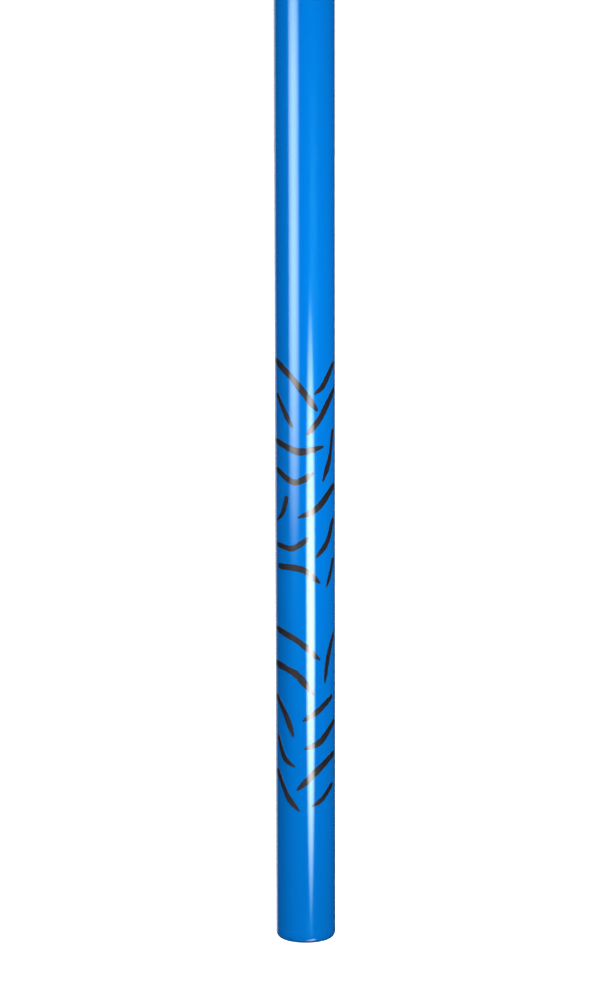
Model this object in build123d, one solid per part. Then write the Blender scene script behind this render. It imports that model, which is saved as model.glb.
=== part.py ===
"""Curling brush: a painted round handle with a swivelling, lockable brush head.

The handle stands along +Z with its rounded butt end at the origin and the head at the top.
X runs along the long side of the head, and -Y is the side of the thumb slide.
The head tilts about an axis along X through the pivot bolt. A thumb slide pushes a steel bar
into one of five notches in the head's hub, which locks the head at that angle.
Every size is in millimetres.
"""

from build123d import *
from math import cos, hypot, radians, sin
import os

# ---------------------------------------------------------------- driving dimensions
OVERALL = 1200.0  # butt end to working face
FIT = 0.05  # gap on each side of a glued or running fit

# handle
TUBE_OD = 25.4
TUBE_WALL = 1.6
END_RADIUS = 3.0  # rounded edge of the butt plug
PLUG_FLANGE = 5.3  # length of the plug that shows below the tube
PLUG_SPIGOT = 26.0
SEAM_CHAMFER = 0.05

# head, measured from the pivot towards the working face
HEAD_LENGTH = 200.0
HEAD_WIDTH = 72.0
HEAD_CORNER = 14.0
PLATE_BACK = 18.0
PLATE_THICK = 4.0
HUB_RADIUS = 13.0
HUB_WIDTH = 20.0
BUMPER_THICK = 2.5

# pad
COVER_THICK = 0.8
PAD_LENGTH = 194.0
PAD_WIDTH = 66.0
PAD_CORNER = 11.0
PAD_PLATE_THICK = 2.5
FOAM_THICK = 13.1
FOAM_ROUND = 5.0
SCREW_X = 62.0
SCREW_Y = 20.0

# pivot and lock
BOLT_D = 6.0
BUSH_OD = 9.0
EAR_THICK = 6.0
EAR_RADIUS = 12.5
THRUST_THICK = 1.0
LOCK_ANGLES = (-60, -30, 0, 30, 60)
LOCK_TRAVEL = 5.0
BAR_X = 8.0
BAR_Y = 3.0
TUBE_TO_PIVOT = 52.0  # tube's upper end to the pivot axis

# ---------------------------------------------------------------- worked-out dimensions
TUBE_R = TUBE_OD / 2
BORE_R = TUBE_R - TUBE_WALL
SPIGOT_R = BORE_R - FIT
PLATE_FRONT = PLATE_BACK + PLATE_THICK
PAD_PLATE_BACK = PLATE_FRONT + COVER_THICK + 0.1
FOAM_BACK = PAD_PLATE_BACK + PAD_PLATE_THICK
FOAM_FRONT = FOAM_BACK + FOAM_THICK
FACE = FOAM_FRONT + COVER_THICK
PIVOT_Z = OVERALL - FACE
TUBE_TOP = PIVOT_Z - TUBE_TO_PIVOT
HUB_HALF = HUB_WIDTH / 2
EAR_INNER = HUB_HALF + THRUST_THICK + 2 * FIT
EAR_OUTER = EAR_INNER + EAR_THICK
SCREW_PLACES = [(x, y) for x in (-SCREW_X, SCREW_X) for y in (-SCREW_Y, SCREW_Y)]

LOW = (Align.CENTER, Align.CENTER, Align.MIN)


# ---------------------------------------------------------------- small helpers
def rod(radius, z0, z1):
    """A round bar along Z."""
    return Pos(0, 0, z0) * Cylinder(radius, z1 - z0, align=LOW)


def rod_x(radius, x0, x1, y=0.0, z=0.0):
    """A round bar along X."""
    return Pos(x0, y, z) * Rot(0, 90, 0) * Cylinder(radius, x1 - x0, align=LOW)


def rod_y(radius, y0, y1, x=0.0, z=0.0):
    """A round bar along Y."""
    return Pos(x, y0, z) * Rot(-90, 0, 0) * Cylinder(radius, y1 - y0, align=LOW)


def block(x0, x1, y0, y1, z0, z1):
    """A box given by its faces."""
    middle = Pos((x0 + x1) / 2, (y0 + y1) / 2, (z0 + z1) / 2)
    return middle * Box(x1 - x0, y1 - y0, z1 - z0)


def slab(length, width, corner, z0, z1):
    """A flat plate with rounded corners."""
    return extrude(Pos(0, 0, z0) * RectangleRounded(length, width, corner), z1 - z0)


def end_edges(solid, axis=Axis.Z, last=True):
    """The edges of the solid's outermost face along an axis."""
    return solid.faces().sort_by(axis)[-1 if last else 0].edges()


def strip(points, thick):
    """A closed outline round a polyline of (y, z) points, thick millimetres wide."""
    sides = ([], [])
    for i, (y, z) in enumerate(points):
        before = points[max(i - 1, 0)]
        after = points[min(i + 1, len(points) - 1)]
        dy, dz = after[0] - before[0], after[1] - before[1]
        length = hypot(dy, dz)
        for side, sign in zip(sides, (1, -1)):
            side.append((y - sign * dz / length * thick / 2, z + sign * dy / length * thick / 2))
    return sides[0] + sides[1][::-1]


def at_pivot(solid):
    """Moves a solid modelled about the pivot axis to its place on the brush."""
    return Pos(0, 0, PIVOT_Z) * solid


# ---------------------------------------------------------------- handle
RING_WALL = 1.0
RING_LENGTH = 14.0
RING_SEAT = 0.2  # the tube is turned down this much under the ring
RIVET_D = 4.0
RIVET_Z = -TUBE_TO_PIVOT - RING_LENGTH / 2  # from the pivot
RING_BORE_R = TUBE_R - RING_SEAT + FIT
RING_R = RING_BORE_R + RING_WALL
FERRULE_BORE_R = 7.5


def rivet_holes():
    """Clearance holes for both rivets, measured from the pivot."""
    return rod_x(RIVET_D / 2 + FIT, -20, 20, z=RIVET_Z)


def handle_tube():
    """Straight hollow handle with the rivet holes near its upper end."""
    tube = chamfer(end_edges(rod(TUBE_R, PLUG_FLANGE, TUBE_TOP), last=False), SEAM_CHAMFER)
    ring_seat = rod(TUBE_R + 1, TUBE_TOP - RING_LENGTH, TUBE_TOP)
    ring_seat -= rod(TUBE_R - RING_SEAT, TUBE_TOP - RING_LENGTH, TUBE_TOP)
    return tube - rod(BORE_R, PLUG_FLANGE, TUBE_TOP) - ring_seat - at_pivot(rivet_holes())


def butt_plug():
    """End plug: a flange with a rounded edge, and a hollow spigot glued inside the tube."""
    flange = rod(TUBE_R, 0, PLUG_FLANGE)
    flange = fillet(end_edges(flange, last=False), END_RADIUS)
    flange = chamfer(end_edges(flange), SEAM_CHAMFER)
    spigot = rod(SPIGOT_R, PLUG_FLANGE, PLUG_FLANGE + PLUG_SPIGOT)
    spigot = chamfer(end_edges(spigot), 0.8)
    plug = flange + spigot
    plug -= rod(SPIGOT_R - 2.2, PLUG_FLANGE - 2.0, PLUG_FLANGE + PLUG_SPIGOT)
    for z in (PLUG_FLANGE + 6, PLUG_FLANGE + 13, PLUG_FLANGE + 20):  # glue grooves
        plug -= rod(SPIGOT_R + 1, z, z + 1.5) - rod(SPIGOT_R - 0.4, z, z + 1.5)
    return plug


def tube_end_ring():
    """Aluminium ring round the tube's upper end, which stops it splitting."""
    ring = rod(RING_R, -RING_LENGTH, 0)
    ring = fillet(end_edges(ring) + end_edges(ring, last=False), 0.4)
    ring = Pos(0, 0, -TUBE_TO_PIVOT) * (ring - rod(RING_BORE_R, -RING_LENGTH, 0))
    return at_pivot(ring - rivet_holes())


def ferrule_rivets():
    """Two blind rivets through the ring, the tube and the ferrule's spigot."""
    head = rod_x(3.5, RING_R - 1, RING_R + 1.3, z=RIVET_Z)
    head = fillet(end_edges(head, Axis.X), 0.9)
    head -= Pos(0, 0, RIVET_Z) * Cylinder(RING_R, 12)
    shank = rod_x(RIVET_D / 2, 4.6, RING_R + 0.4, z=RIVET_Z)
    bulb = rod_x(2.8, 5.0, FERRULE_BORE_R + 0.5, z=RIVET_Z)
    bulb &= Pos(0, 0, RIVET_Z) * Cylinder(FERRULE_BORE_R, 12)
    mandrel_hole = rod_x(0.9, RING_R - 2, RING_R + 2, z=RIVET_Z)
    rivet = head + shank + bulb - mandrel_hole
    return at_pivot(Compound(children=[rivet, Rot(0, 0, 180) * rivet]))


# ---------------------------------------------------------------- ferrule and fork
COLLAR = 5.0
NECK_BASE = -TUBE_TO_PIVOT + COLLAR
NECK_R = RING_R - 1.5
FORK_BASE = -22.0
FORK_CORNER = 4.5
EAR_ROUND = 1.5
CROTCH = -(HUB_RADIUS + 1.0)
SEAT_DEPTH = 1.5  # counterbore for each bolt washer
FERRULE_SPIGOT = 55.0
TRACK_Y = -11.0  # flat that the thumb slide runs on
TRACK_HALF = 7.6
TRACK_Z = (-45.0, -19.5)
SLOT_HALF = 3.0
SLOT_Z = (-41.0, -27.0)
CHANNEL_BOTTOM = -51.0
SPRING_POCKET_Z = (-50.5, -33.5)


def neck():
    """Smooth neck that grows from the round collar into the fork's rounded rectangle."""
    round_end = Pos(0, 0, NECK_BASE - 0.5) * RectangleRounded(2 * NECK_R, 2 * NECK_R, NECK_R - 0.1)
    sections = [round_end]
    for part_way in (0.35, 0.7, 1.0):
        ease = part_way * part_way * (3 - 2 * part_way)
        length = 2 * (NECK_R + (EAR_OUTER - NECK_R) * ease)
        width = 2 * (NECK_R + (EAR_RADIUS - NECK_R) * ease)
        corner = NECK_R + (FORK_CORNER - NECK_R) * ease
        z = NECK_BASE + (FORK_BASE - NECK_BASE) * part_way
        sections.append(Pos(0, 0, z) * RectangleRounded(length, width, corner))
    return loft(sections)


def fork_blank():
    """Solid fork before its gap is cut: straight sides with a round end about the pivot."""
    side = block(-EAR_OUTER, EAR_OUTER, -EAR_RADIUS, EAR_RADIUS, FORK_BASE, 0)
    side += rod_x(EAR_RADIUS, -EAR_OUTER, EAR_OUTER)
    side = fillet(end_edges(side, Axis.X) + end_edges(side, Axis.X, last=False), EAR_ROUND)
    side += slab(2 * EAR_OUTER, 2 * EAR_RADIUS, FORK_CORNER, FORK_BASE, CROTCH)
    corners = slab(2 * EAR_OUTER, 2 * EAR_RADIUS, FORK_CORNER, FORK_BASE, EAR_RADIUS)
    return side & corners


def lock_cuts():
    """What the ferrule loses to the lock: the bar's channel, thumb slot, track and spring pocket."""
    half_x, half_y = BAR_X / 2 + 0.1, BAR_Y / 2 + 0.1
    channel = block(-half_x, half_x, -half_y, half_y, CHANNEL_BOTTOM, CROTCH + 1)
    slot = block(-SLOT_HALF, SLOT_HALF, -20, 0, *SLOT_Z)
    slot = fillet(slot.edges().filter_by(Axis.Y), 1.0)
    track = block(-TRACK_HALF, TRACK_HALF, -20, TRACK_Y, *TRACK_Z)
    track = fillet(track.edges().filter_by(Axis.Y), 2.0)
    pocket = block(-2.8, 2.8, 0, half_y + 2.4, *SPRING_POCKET_Z)
    return channel + slot + track + pocket


def ferrule():
    """Moulded ferrule: a spigot in the tube, a collar, a neck and the fork that holds the head."""
    spigot = rod(SPIGOT_R, -TUBE_TO_PIVOT - FERRULE_SPIGOT, -TUBE_TO_PIVOT)
    spigot = chamfer(end_edges(spigot, last=False), 1.0)
    collar = rod(RING_R, -TUBE_TO_PIVOT, NECK_BASE)
    collar = fillet(end_edges(collar), 1.2)
    body = spigot + collar + neck() + fork_blank()
    body -= block(-EAR_INNER, EAR_INNER, -20, 20, CROTCH, EAR_RADIUS + 1)
    body -= rod(FERRULE_BORE_R, -TUBE_TO_PIVOT - FERRULE_SPIGOT, -TUBE_TO_PIVOT - 2)
    body -= rod_x(BOLT_D / 2 + FIT, -EAR_OUTER - 1, EAR_OUTER + 1)
    for side in (-1, 1):
        seat = sorted((side * (EAR_OUTER - SEAT_DEPTH), side * (EAR_OUTER + 1)))
        body -= rod_x(6.6, *seat)
    return at_pivot(body - lock_cuts() - rivet_holes())


# ---------------------------------------------------------------- pivot hardware
WASHER_THICK = 1.0
SEAT_X = EAR_OUTER - SEAT_DEPTH
CLAMP_X = SEAT_X + WASHER_THICK  # where the bolt head and the nut bear
BOLT_HEAD = 3.3
NUT_HEIGHT = 6.0


def hex_bar_x(across_flats, x0, x1):
    """A hexagonal bar along X, given its size across flats."""
    outline = RegularPolygon(across_flats / 2, 6, major_radius=False)
    return Pos(x0, 0, 0) * Rot(0, 90, 0) * extrude(outline, x1 - x0)


def pivot_bolt():
    """Button head bolt that the head swivels on."""
    head = rod_x(5.25, CLAMP_X, CLAMP_X + BOLT_HEAD)
    head = fillet(end_edges(head, Axis.X), 2.2)
    head -= hex_bar_x(4.0, CLAMP_X + 1.3, CLAMP_X + BOLT_HEAD + 1)
    shank = rod_x(BOLT_D / 2, -CLAMP_X - NUT_HEIGHT - 1.5, CLAMP_X)
    shank = chamfer(end_edges(shank, Axis.X, last=False), 0.5)
    return at_pivot(head + shank)


def pivot_nut():
    """Self-locking nut: a hexagon with a round collar that holds a nylon ring."""
    hexagon = hex_bar_x(10.0, -CLAMP_X - 4.4, -CLAMP_X)
    hexagon &= rod_x(5.6, -CLAMP_X - 4.4, -CLAMP_X)
    collar = rod_x(4.6, -CLAMP_X - NUT_HEIGHT, -CLAMP_X - 4.4)
    collar = fillet(end_edges(collar, Axis.X, last=False), 0.8)
    return at_pivot(hexagon + collar - rod_x(BOLT_D / 2, -CLAMP_X - 10, 0))


def bolt_washers():
    """Two steel washers in the ears' seats, under the bolt head and the nut."""
    washer = rod_x(6.2, SEAT_X, CLAMP_X) - rod_x(BOLT_D / 2 + 0.2, SEAT_X - 1, CLAMP_X + 1)
    return at_pivot(Compound(children=[washer, Rot(0, 0, 180) * washer]))


def thrust_washers():
    """Two nylon washers between the head's hub and the ears."""
    x0 = HUB_HALF + FIT
    washer = rod_x(11.0, x0, x0 + THRUST_THICK) - rod_x(BOLT_D / 2 + 0.1, x0 - 1, x0 + 2)
    return at_pivot(Compound(children=[washer, Rot(0, 0, 180) * washer]))


# ---------------------------------------------------------------- lock
BAR_TIP = -(HUB_RADIUS + 0.6)  # at rest, clear of the hub
BAR_LENGTH = 36.0
STEM_Z = (-40.0, -33.0)
THUMB_Z = (-43.5, -26.0)
THUMB_HALF = 7.0
THUMB_OUT = -15.6
LOCK_SCREW_Z = -36.5
DETENT_Z = -42.0  # where the spring's bump presses on the bar


def lock_bar():
    """Steel bar with a chamfered tip, a screw hole, and two grooves for the detent spring."""
    bar = block(-BAR_X / 2, BAR_X / 2, -BAR_Y / 2, BAR_Y / 2, BAR_TIP - BAR_LENGTH, BAR_TIP)
    bar = chamfer(end_edges(bar).filter_by(Axis.X), 0.5)
    for z in (DETENT_Z, DETENT_Z - LOCK_TRAVEL):
        bar -= rod_x(1.25, -BAR_X, BAR_X, y=BAR_Y / 2 + 0.45, z=z)
    return at_pivot(bar - rod_y(1.5, -BAR_Y, BAR_Y, z=LOCK_SCREW_Z))


def thumb_slide():
    """Plastic thumb piece with grip ridges, and a stem that reaches the bar through the slot."""
    pad = block(-THUMB_HALF, THUMB_HALF, THUMB_OUT, TRACK_Y - 0.15, *THUMB_Z)
    pad = fillet(pad.edges().filter_by(Axis.Y), 1.8)
    pad = fillet(end_edges(pad, Axis.Y, last=False), 1.2)
    ridge_places = [THUMB_Z[0] + 2.6 + 1.6 * i for i in range(2)]
    ridge_places += [THUMB_Z[1] - 2.6 - 1.6 * i for i in range(3)]
    for z in ridge_places:  # grooves between the ridges
        pad -= rod_x(0.5, -THUMB_HALF - 1, THUMB_HALF + 1, y=THUMB_OUT, z=z)
    half = SLOT_HALF - 0.2
    stem = block(-half, half, TRACK_Y - 1, -BAR_Y / 2, *STEM_Z)
    body = pad + stem - rod_y(1.5, THUMB_OUT - 1, 0, z=LOCK_SCREW_Z)
    return at_pivot(body - rod_y(2.9, THUMB_OUT - 1, THUMB_OUT + 2.0, z=LOCK_SCREW_Z))


def thumb_screw():
    """Small cap screw that joins the thumb piece to the bar."""
    head = rod_y(2.75, THUMB_OUT + 0.3, THUMB_OUT + 2.0, z=LOCK_SCREW_Z)
    head = fillet(end_edges(head, Axis.Y, last=False), 0.4)
    socket = Pos(0, THUMB_OUT, LOCK_SCREW_Z) * Rot(-90, 0, 0)
    socket *= extrude(RegularPolygon(1.0, 6, major_radius=False), 1.3)
    shank = rod_y(1.5, THUMB_OUT + 2.0, BAR_Y / 2 - 0.3, z=LOCK_SCREW_Z)
    return at_pivot(head - socket + shank)


def detent_spring():
    """Leaf spring behind the bar: its bump drops into a groove at each end of the travel."""
    bump, flat, ends = BAR_Y / 2 - 0.25, BAR_Y / 2 + 1.7, BAR_Y / 2 + 2.2
    low, high = SPRING_POCKET_Z[0] + 0.5, SPRING_POCKET_Z[1] - 0.5
    shape = [(ends, low), (flat, low + 4.5), (bump + 0.5, DETENT_Z - 1.2), (bump, DETENT_Z)]
    shape += [(bump + 0.5, DETENT_Z + 1.2), (flat, high - 4.5), (ends, high)]
    outline = make_face(Polyline(*strip(shape, 0.4), close=True))
    outline = Plane.YZ * outline
    return at_pivot(Pos(-2.5, 0, 0) * extrude(outline, 5.0))


# ---------------------------------------------------------------- head
RIB = 2.0
LIP_BACK = PLATE_BACK - 3.5
PAD_BACK = PLATE_BACK - 3.0  # back of the thick middle of the plate
BOSS_BACK = PLATE_BACK - 5.0
SCREW_D = 4.0
SCREW_SEAT = PLATE_BACK - 2.0
BUMPER_BACK = PLATE_BACK - 1.5
BUMPER_FRONT = PLATE_FRONT + 0.6
GROOVE = (PLATE_BACK + 1.2, PLATE_BACK + 2.8)
GROOVE_DEEP = 0.9


def outline_band(grow_out, grow_in, z0, z1):
    """A band that follows the plate's outline, between two offsets from it."""
    outer = slab(
        HEAD_LENGTH + 2 * grow_out, HEAD_WIDTH + 2 * grow_out, HEAD_CORNER + grow_out, z0, z1
    )
    inner = slab(
        HEAD_LENGTH + 2 * grow_in, HEAD_WIDTH + 2 * grow_in, HEAD_CORNER + grow_in, z0, z1
    )
    return outer - inner


def stiffening_ribs():
    """Lengthways and crossways ribs on the back of the plate."""
    ribs = []
    for y in (-HEAD_WIDTH / 4, HEAD_WIDTH / 4):
        ribs.append(block(-HEAD_LENGTH / 2 + 1, HEAD_LENGTH / 2 - 1, y - RIB / 2, y + RIB / 2,
                          PAD_BACK, PLATE_BACK + 1))
    for x in (-84, -SCREW_X, -46, 46, SCREW_X, 84):
        ribs.append(block(x - RIB / 2, x + RIB / 2, -HEAD_WIDTH / 2 + 1, HEAD_WIDTH / 2 - 1,
                          PAD_BACK, PLATE_BACK + 1))
    return ribs


def hub():
    """Round hub with its pedestal and gussets, about the pivot axis."""
    body = rod_x(HUB_RADIUS, -HUB_HALF, HUB_HALF)
    body += block(-HUB_HALF, HUB_HALF, -11, 11, 0, PLATE_BACK + 1)
    for x in (-HUB_HALF + 1.5, HUB_HALF - 5.5):
        for side in (-1, 1):
            web = Polyline((side * 10, 3), (side * 30, PAD_BACK + 1), (side * 10, PAD_BACK + 1),
                           close=True)
            body += Pos(x, 0, 0) * extrude(Plane.YZ * make_face(web), 4.0)
    for angle in LOCK_ANGLES:
        notch = block(-BAR_X / 2 - 0.2, BAR_X / 2 + 0.2, -BAR_Y / 2 - 0.15, BAR_Y / 2 + 0.15,
                      -HUB_RADIUS - 1, -HUB_RADIUS + LOCK_TRAVEL - 0.4)
        body -= Rot(angle, 0, 0) * notch
    return body - rod_x(BUSH_OD / 2, -HUB_HALF - 1, HUB_HALF + 1)


def head_base():
    """Moulded head: plate, back lip, ribs, thick middle, screw bosses and the hub."""
    plate = slab(HEAD_LENGTH, HEAD_WIDTH, HEAD_CORNER, PLATE_BACK, PLATE_FRONT)
    plate += outline_band(0, -2.2, LIP_BACK, PLATE_BACK + 1)
    plate += slab(80, 44, 10, PAD_BACK, PLATE_BACK + 1)
    for rib in stiffening_ribs():
        plate += rib
    for x, y in SCREW_PLACES:
        plate += Pos(x, y, 0) * rod(6.2, BOSS_BACK, PLATE_BACK + 1)
    plate -= outline_band(1, -GROOVE_DEEP, *GROOVE)
    body = plate + hub()
    for x, y in SCREW_PLACES:
        body -= Pos(x, y, 0) * rod(SCREW_D / 2 + 0.2, BOSS_BACK - 1, PLATE_FRONT + 1)
        body -= Pos(x, y, 0) * rod(4.2, BOSS_BACK - 1, SCREW_SEAT)
    return at_pivot(body)


def pivot_bush():
    """Plain bearing pressed into the hub."""
    bush = rod_x(BUSH_OD / 2, -HUB_HALF, HUB_HALF) - rod_x(BOLT_D / 2 + FIT, -HUB_HALF, HUB_HALF)
    return at_pivot(bush)


def edge_bumper():
    """Soft band round the head's edge, held by a tongue in the plate's groove."""
    band = outline_band(BUMPER_THICK, 0, BUMPER_BACK, BUMPER_FRONT)
    outer = [e for f in (0, -1) for e in band.faces().sort_by(Axis.Z)[f].outer_wire().edges()]
    band = fillet(outer, 1.3)
    tongue = outline_band(0.5, -GROOVE_DEEP, *GROOVE)
    return at_pivot(band + tongue)


# ---------------------------------------------------------------- pad
INSERT_OD = 5.6
INSERT_LENGTH = 6.5
BOSS_R = 5.0
BOSS_FRONT = FOAM_BACK + 5.5
MARGIN = 7.0  # width of cloth folded behind the pad plate


def pad_blank(grow, z0, z1, round_edge):
    """The pad's outline, grown by grow, with a rounded front edge."""
    body = slab(PAD_LENGTH + 2 * grow, PAD_WIDTH + 2 * grow, PAD_CORNER + grow, z0, z1)
    return fillet(end_edges(body), round_edge)


def pad_plate():
    """Stiff plate behind the foam, with a boss for each screw's insert."""
    plate = slab(PAD_LENGTH, PAD_WIDTH, PAD_CORNER, PAD_PLATE_BACK, FOAM_BACK)
    for x, y in SCREW_PLACES:
        plate += Pos(x, y, 0) * rod(BOSS_R, PLATE_FRONT, BOSS_FRONT)
        plate -= Pos(x, y, 0) * rod(INSERT_OD / 2, PLATE_FRONT - 1, BOSS_FRONT - 1)
    return at_pivot(plate)


def threaded_inserts():
    """Four brass inserts that the pad screws go into."""
    insert = rod(INSERT_OD / 2, PLATE_FRONT + 0.2, PLATE_FRONT + 0.2 + INSERT_LENGTH)
    insert -= rod(SCREW_D / 2, PLATE_FRONT, PLATE_FRONT + 10)
    for z in (PLATE_FRONT + 2.4, PLATE_FRONT + 4.6):
        insert -= rod(INSERT_OD, z, z + 0.5) - rod(INSERT_OD / 2 - 0.3, z, z + 0.5)
    return at_pivot(Compound(children=[Pos(x, y, 0) * insert for x, y in SCREW_PLACES]))


def foam_core():
    """Closed-cell foam block with a rounded front edge and pockets for the bosses."""
    foam = pad_blank(0, FOAM_BACK, FOAM_FRONT, FOAM_ROUND)
    for x, y in SCREW_PLACES:
        foam -= Pos(x, y, 0) * rod(BOSS_R, FOAM_BACK - 1, BOSS_FRONT)
    return at_pivot(foam)


def pad_cover():
    """Cloth cover drawn over the foam and folded behind the pad plate."""
    back = PLATE_FRONT + 0.05
    outer = pad_blank(COVER_THICK, back, FACE, FOAM_ROUND + COVER_THICK)
    inner = pad_blank(0, PAD_PLATE_BACK, FOAM_FRONT, FOAM_ROUND)
    opening = slab(PAD_LENGTH - 2 * MARGIN, PAD_WIDTH - 2 * MARGIN, 3, back - 1, PAD_PLATE_BACK)
    return at_pivot(outer - inner - opening)


def pad_screws():
    """Four socket screws through the head's bosses into the pad's inserts."""
    head = fillet(end_edges(rod(3.8, SCREW_SEAT - 2.4, SCREW_SEAT), last=False), 0.6)
    socket = extrude(Pos(0, 0, SCREW_SEAT - 3) * RegularPolygon(1.25, 6, major_radius=False), 2.0)
    shank = rod(SCREW_D / 2, SCREW_SEAT, PLATE_FRONT + INSERT_LENGTH)
    screw = head - socket + shank
    return at_pivot(Compound(children=[Pos(x, y, 0) * screw for x, y in SCREW_PLACES]))


# ---------------------------------------------------------------- export
NODES = (
    handle_tube, butt_plug, tube_end_ring, ferrule, ferrule_rivets,
    pivot_bolt, pivot_nut, bolt_washers, thrust_washers, detent_spring,
    lock_bar, thumb_slide, thumb_screw,
    head_base, pivot_bush, edge_bumper,
    pad_plate, threaded_inserts, foam_core, pad_cover, pad_screws,
)

os.makedirs("parts", exist_ok=True)
for make in NODES:
    export_step(make(), f"parts/{make.__name__}.step")
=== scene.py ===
"""Looks of the curling brush: lacquered handle, brushed paint marks, moulded head, sewn pad, studio.

The handle stands along +Z on its rounded butt end at the origin, and the camera looks along +Y and
a little down. Names that end in _MM are millimetres; every other length is in metres.
"""

import math

import bmesh
import bpy
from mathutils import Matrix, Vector, noise


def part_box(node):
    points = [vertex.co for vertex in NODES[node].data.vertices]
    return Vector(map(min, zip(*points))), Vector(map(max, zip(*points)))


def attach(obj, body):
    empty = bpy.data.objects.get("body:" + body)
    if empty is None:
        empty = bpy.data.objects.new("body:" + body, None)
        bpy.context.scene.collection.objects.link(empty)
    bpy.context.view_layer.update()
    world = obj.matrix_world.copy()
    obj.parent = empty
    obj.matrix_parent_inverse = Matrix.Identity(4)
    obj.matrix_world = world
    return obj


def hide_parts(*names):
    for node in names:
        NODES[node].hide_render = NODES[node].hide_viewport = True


MM = 0.001

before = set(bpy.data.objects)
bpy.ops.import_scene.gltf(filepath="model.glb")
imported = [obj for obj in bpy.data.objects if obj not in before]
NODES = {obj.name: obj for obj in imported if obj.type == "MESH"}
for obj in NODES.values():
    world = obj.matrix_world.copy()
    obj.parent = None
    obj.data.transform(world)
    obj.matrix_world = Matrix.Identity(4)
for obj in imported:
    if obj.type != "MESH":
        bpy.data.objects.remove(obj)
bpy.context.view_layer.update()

# Corners of the CAD parts that the shapes and materials below are measured from.
TUBE_LOW, TUBE_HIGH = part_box("handle_tube")
RING_LOW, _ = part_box("tube_end_ring")
PAD_LOW, PAD_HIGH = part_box("pad_cover")
FOAM_LOW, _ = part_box("foam_core")
_, BUMPER_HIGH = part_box("edge_bumper")
THUMB_LOW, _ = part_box("thumb_slide")


# ---------------------------------------------------------------- material helpers
# The Mix node's colour sockets, which share their names with its other kinds of socket.
MIX_A, MIX_B = 6, 7
MIX_RESULT = 2


class Shader:
    """A Principled material and short ways to wire procedural detail into it."""

    def __init__(self, name, **sockets):
        self.mat = bpy.data.materials.new(name)
        self.mat.use_nodes = True
        self.tree = self.mat.node_tree
        self.bsdf = self.tree.nodes["Principled BSDF"]
        for key, value in sockets.items():
            self.put(self.bsdf, key, value)

    def put(self, node, key, value):
        """Sets or links one input, given its number, or its name with underscores for spaces."""
        socket = node.inputs[key] if isinstance(key, int) else node.inputs[key.replace("_", " ")]
        if isinstance(value, bpy.types.NodeSocket):
            self.tree.links.new(value, socket)
        elif isinstance(value, tuple) and len(value) == 3 and socket.type == "RGBA":
            socket.default_value = (*value, 1.0)
        else:
            socket.default_value = value

    def node(self, kind, inputs=None, **props):
        """Adds a node, with its inputs set or linked and its own properties set."""
        made = self.tree.nodes.new(f"ShaderNode{kind}")
        for key, value in props.items():
            setattr(made, key, value)
        for key, value in (inputs or {}).items():
            self.put(made, key, value)
        return made

    def place(self, scale=(1, 1, 1)):
        """Object coordinates, stretched by scale."""
        coords = self.node("TexCoord").outputs["Object"]
        if scale == (1, 1, 1):
            return coords
        return self.node("Mapping", {"Vector": coords, "Scale": scale}).outputs["Vector"]

    def parts(self, vector):
        """The x, y and z of a vector socket."""
        return self.node("SeparateXYZ", {"Vector": vector}).outputs[:3]

    def noise(self, scale, detail=3.0, rough=0.55, stretch=(1, 1, 1), distortion=0.0):
        """Cloudy noise from 0 to 1, finer the larger scale is."""
        made = self.node("TexNoise", {
            "Vector": self.place(stretch), "Scale": scale, "Detail": detail,
            "Roughness": rough, "Distortion": distortion,
        })
        return made.outputs["Fac"]

    def spread(self, fac, low=0.0, high=1.0, start=0.3, end=0.7):
        """Maps fac from start..end to low..high and holds it there beyond."""
        made = self.node("MapRange", {
            "Value": fac, "From_Min": start, "From_Max": end, "To_Min": low, "To_Max": high,
        })
        return made.outputs["Result"]

    def math(self, operation, a, b=0.0):
        """One Math node; b is ignored by operations that take a single value."""
        return self.node("Math", {0: a, 1: b}, operation=operation).outputs[0]

    def tint(self, fac, dark, light):
        """A colour that runs from dark to light with fac."""
        made = self.node("Mix", {0: fac, MIX_A: dark, MIX_B: light}, data_type="RGBA")
        return made.outputs[MIX_RESULT]

    def bump(self, height, strength, depth_mm, under=None):
        """A normal bent by height, on top of another bent normal if one is given."""
        inputs = {"Height": height, "Strength": strength, "Distance": depth_mm * MM}
        if under is not None:
            inputs["Normal"] = under
        return self.node("Bump", inputs).outputs["Normal"]

    def finish(self, **sockets):
        """Sets the shader's last inputs and gives the material."""
        for key, value in sockets.items():
            self.put(self.bsdf, key, value)
        return self.mat


def per_mm(size_mm):
    """The texture scale that gives features about size_mm across."""
    return 1.0 / (size_mm * MM)


# ---------------------------------------------------------------- materials
# Pairs are the darkest and the lightest shade of a mottled colour.
PAINT_BLUES = (0.0, 0.117, 0.428), (0.0, 0.126, 0.457)
RUBBED_PAINT = (0.01, 0.17, 0.5)
PAINT_BLACKS = (0.006, 0.006, 0.008), (0.012, 0.012, 0.016)
STAIN_BROWN = (0.16, 0.10, 0.06)
RUBBER_GREYS = (0.020, 0.021, 0.023), (0.045, 0.046, 0.048)
SCUFF_GREY = (0.13, 0.13, 0.13)
FOAM_CREAMS = (0.52, 0.50, 0.45), (0.72, 0.70, 0.64)
THUMB_BLUES = (0.0, 0.060, 0.235), (0.004, 0.080, 0.295)
RUBBED_THUMB = (0.06, 0.19, 0.47)
CLOTH_YELLOWS = (0.330, 0.195, 0.022), (0.620, 0.395, 0.055)
CLOTH_SLUB = (0.70, 0.48, 0.10)
CLOTH_DIRT = (0.235, 0.165, 0.065)
CLOTH_SHEEN = (1.0, 0.86, 0.55)
THREAD_BROWNS = (0.10, 0.055, 0.012), (0.21, 0.125, 0.03)

COAT = {"Coat_Weight": 1.0, "Coat_IOR": 1.6, "Coat_Roughness": 0.055}
CYAN = (0.0, 1.0, 1.0)
WEAR_HEIGHT = 30.0 * MM  # the lacquer is rubbed below this height


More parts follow.
